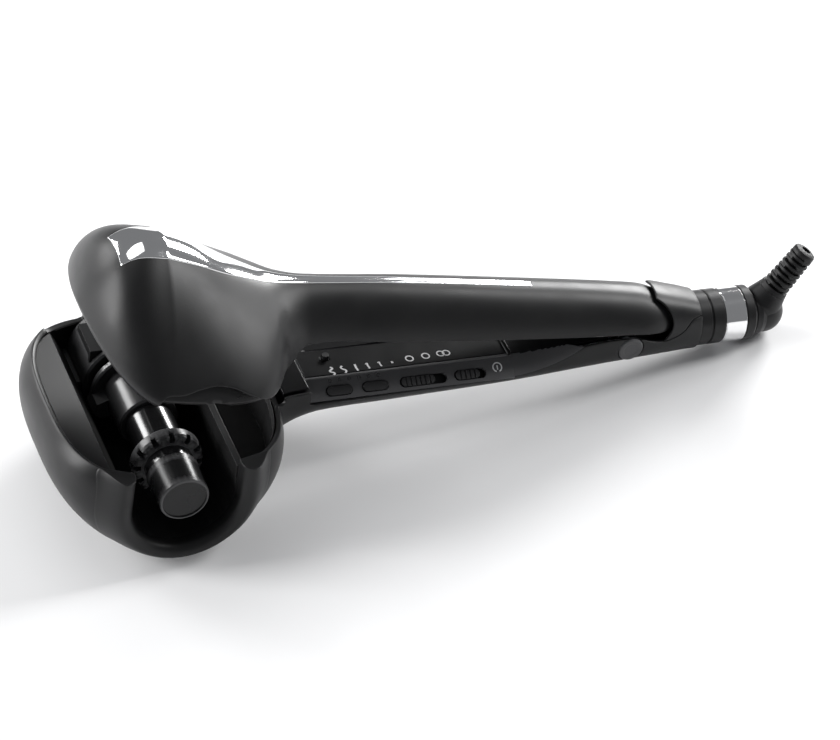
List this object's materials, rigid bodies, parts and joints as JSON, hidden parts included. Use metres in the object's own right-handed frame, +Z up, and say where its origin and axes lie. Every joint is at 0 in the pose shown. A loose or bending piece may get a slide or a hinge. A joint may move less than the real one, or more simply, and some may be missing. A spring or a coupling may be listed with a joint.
{
  "type": "automatic hair curler",
  "caption": "Jaw-type automatic hair curler: domed upper arm over a bowl with a heated barrel, hinged at the cord end, with side controls and a swivelling cord outlet.",
  "frame": {"origin": "centre of the bounding box footprint, at the height the curler rests on", "axes": "+X along the curler from the curling head to the cord outlet, +Z up as it lies on a table, barrel free end towards -Y"},
  "size_m": [0.3136, 0.1, 0.1178],
  "materials": {
    "housing_black": "fine soft-touch satin",
    "liner_black": "satin",
    "bezel_grey": "satin",
    "panel_black": "semi-gloss",
    "light_pipe": "clear smoked, unlit",
    "board_green": "solder-masked board",
    "switch_black": "moulded",
    "barrel_black": "glossy coated",
    "cap_grey": "satin",
    "rotor_grey": "glossy",
    "heater_ceramic": "fired",
    "steel": "stamped and turned",
    "bright_trim": "mirror",
    "contact_brass": "machined",
    "bumper_rubber": "moulded",
    "gear_white": "natural nylon",
    "key_black": "satin",
    "plunger_black": "satin",
    "relief_rubber": "matt"
  },
  "bodies": {
    "lower_arm": {"lower_shell": "housing_black", "chamber_liner": "liner_black", "mouth_bezel": "bezel_grey", "inner_cover": "liner_black", "control_panel": "panel_black", "led_light_pipes": "light_pipe", "control_board": "board_green", "key_switches": "switch_black", "slide_switches": "switch_black", "barrel_tube": "barrel_black", "barrel_end_cap": "cap_grey", "barrel_guide_ring": "cap_grey", "barrel_heater": "heater_ceramic", "barrel_mount": "steel", "thermal_cutout": "heater_ceramic", "gear_housing": "bezel_grey", "gear_motor": "steel", "motor_bracket": "steel", "hinge_yoke": "steel", "hinge_pin": "steel", "hinge_caps": "panel_black", "jaw_spring": "steel", "start_switch": "switch_black", "power_board": "board_green", "rear_cover": "housing_black", "tail_band": "liner_black", "chrome_ring": "bright_trim", "rear_ring": "housing_black", "slip_contacts": "contact_brass", "lower_screws": "steel"},
    "upper_arm": {"upper_shell": "housing_black", "upper_liner": "liner_black", "chamber_plate": "bezel_grey", "chrome_trim": "bright_trim", "grip_bumper": "bumper_rubber", "jaw_lever": "steel", "upper_screws": "steel"},
    "rotor": {"winding_rotor": "rotor_grey", "rotor_gear": "gear_white"},
    "idler": {"idler_gear": "gear_white"},
    "pinion": {"motor_pinion": "contact_brass"},
    "front_key": {"push_key_front": "key_black"},
    "rear_key": {"push_key_rear": "key_black"},
    "long_knob": {"slide_knob_long": "key_black"},
    "short_knob": {"slide_knob_short": "key_black"},
    "plunger": {"start_plunger": "plunger_black"},
    "cord_outlet": {"swivel_elbow": "housing_black", "strain_relief": "relief_rubber"}
  },
  "joints": [
    {"name": "jaw_hinge", "type": "hinge", "parent": "lower_arm", "child": "upper_arm", "pos_m": [0.0753, 0, 0.01871], "axis": [0, -1, 0], "range_deg": [0, 8], "stiffness_Nm_per_rad": 0.5, "springref_deg": -51.57},
    {"name": "rotor_spin", "type": "hinge", "parent": "lower_arm", "child": "rotor", "pos_m": [-0.11313, 0, 0.03002], "axis": [0, 1, 0], "continuous": true},
    {"name": "idler_spin", "type": "hinge", "parent": "lower_arm", "child": "idler", "pos_m": [-0.13169, 0.033, 0.0204], "axis": [0, 1, 0], "continuous": true},
    {"name": "pinion_spin", "type": "hinge", "parent": "lower_arm", "child": "pinion", "pos_m": [-0.14048, 0.033, 0.0245], "axis": [0, 1, 0], "continuous": true},
    {"name": "front_key_press", "type": "slide", "parent": "lower_arm", "child": "front_key", "axis": [-0.1225, 0.5736, -0.8099], "range_m": [0, 0.0008], "stiffness_N_per_m": 300, "springref_m": -0.001},
    {"name": "rear_key_press", "type": "slide", "parent": "lower_arm", "child": "rear_key", "axis": [-0.1225, 0.5736, -0.8099], "range_m": [0, 0.0008], "stiffness_N_per_m": 300, "springref_m": -0.001},
    {"name": "long_knob_slide", "type": "slide", "parent": "lower_arm", "child": "long_knob", "axis": [0.9888, 0, -0.1495], "range_m": [0, 0.0044]},
    {"name": "short_knob_slide", "type": "slide", "parent": "lower_arm", "child": "short_knob", "axis": [0.9888, 0, -0.1495], "range_m": [0, 0.0022]},
    {"name": "plunger_press", "type": "slide", "parent": "lower_arm", "child": "plunger", "axis": [-0.1495, 0, -0.9888], "range_m": [0, 0.0012], "stiffness_N_per_m": 200, "springref_m": -0.002},
    {"name": "cord_swivel", "type": "hinge", "parent": "lower_arm", "child": "cord_outlet", "pos_m": [0.13067, 0, 0.01034], "axis": [0.9888, 0, -0.1495], "continuous": true}
  ],
  "couplings": [
    {"joint": "idler_spin", "follows": "rotor_spin", "ratio": -2.7143},
    {"joint": "pinion_spin", "follows": "rotor_spin", "ratio": 3.8}
  ]
}
